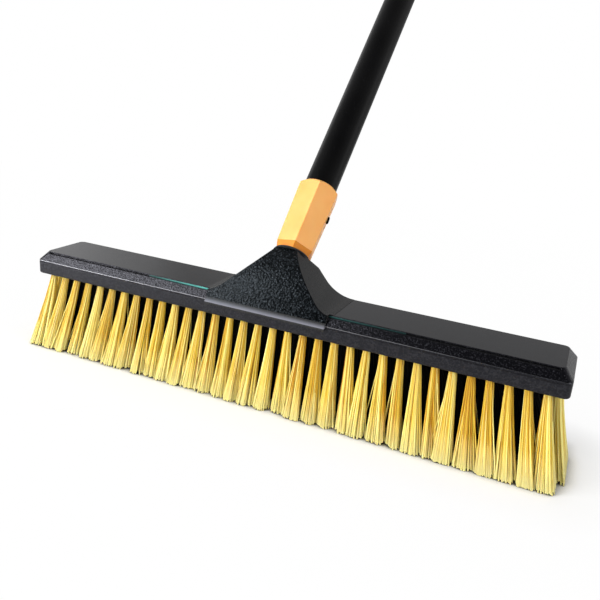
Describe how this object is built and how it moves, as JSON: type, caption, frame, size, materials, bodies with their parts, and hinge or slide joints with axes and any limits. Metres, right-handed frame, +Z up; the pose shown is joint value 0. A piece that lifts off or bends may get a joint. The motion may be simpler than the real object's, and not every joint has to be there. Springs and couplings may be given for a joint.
{
  "type": "wide floor broom",
  "caption": "Wide floor broom: chamfered moulded block, flared yellow and black tufts, a saddle yoke, and a leaning tube handle that screws in through a hexagonal ferrule.",
  "frame": {"origin": "on the floor at the tuft tips, under the middle of the block", "axes": "+X along the block, +Y behind the broom where the handle leans, +Z up"},
  "size_m": [0.476, 0.9476, 1.0032],
  "materials": {
    "block_skirt": "matte moulded, fine grain",
    "block_cap": "smooth satin top, pebbled chamfers",
    "accent": "satin inlay",
    "bristle_yellow": "drawn filament, slight sheen",
    "bristle_black": "drawn filament, slight sheen",
    "anchor_wire": "flattened wire",
    "yoke_black": "leather-grained front, satin flanks",
    "bush_nylon": "smooth moulded",
    "washer_rubber": "matte",
    "ferrule_yellow": "satin moulded",
    "rivet_black": "blackened",
    "tube_coat": "satin powder coat",
    "grip_rubber": "matte ringed",
    "end_cap_black": "fine matte grain",
    "screw_steel": "zinc plated",
    "insert_brass": "turned"
  },
  "bodies": {
    "broom_head": {"base_block": "block_skirt", "top_cap": "block_cap", "accent_inlay_left": "accent", "accent_inlay_right": "accent", "front_tufts": "bristle_yellow", "back_tufts": "bristle_yellow", "left_end_tufts": "bristle_yellow", "right_end_tufts": "bristle_yellow", "inner_front_tufts": "bristle_black", "middle_tufts": "bristle_black", "inner_back_tufts": "bristle_black", "outer_tuft_staples": "anchor_wire", "inner_tuft_staples": "anchor_wire", "yoke": "yoke_black", "socket_bush": "bush_nylon", "cap_screws": "screw_steel", "yoke_screws": "screw_steel", "yoke_inserts": "insert_brass"},
    "neck_seal": {"neck_washer": "washer_rubber"},
    "handle": {"hex_ferrule": "ferrule_yellow", "ferrule_rivet": "rivet_black", "handle_tube": "tube_coat", "grip_sleeve": "grip_rubber", "end_cap": "end_cap_black"}
  },
  "joints": [
    {"name": "handle_lift", "type": "slide", "parent": "broom_head", "child": "neck_seal", "axis": [0, 0.7071, 0.7071], "range_m": [0, 0.02033]},
    {"name": "handle_turn", "type": "hinge", "parent": "neck_seal", "child": "handle", "pos_m": [0, 0.016, 0.1133], "axis": [0, 0.7071, 0.7071], "range_deg": [0, 1440]}
  ],
  "couplings": [
    {"joint": "handle_lift", "follows": "handle_turn", "m_per_rad": 0.00080851}
  ]
}
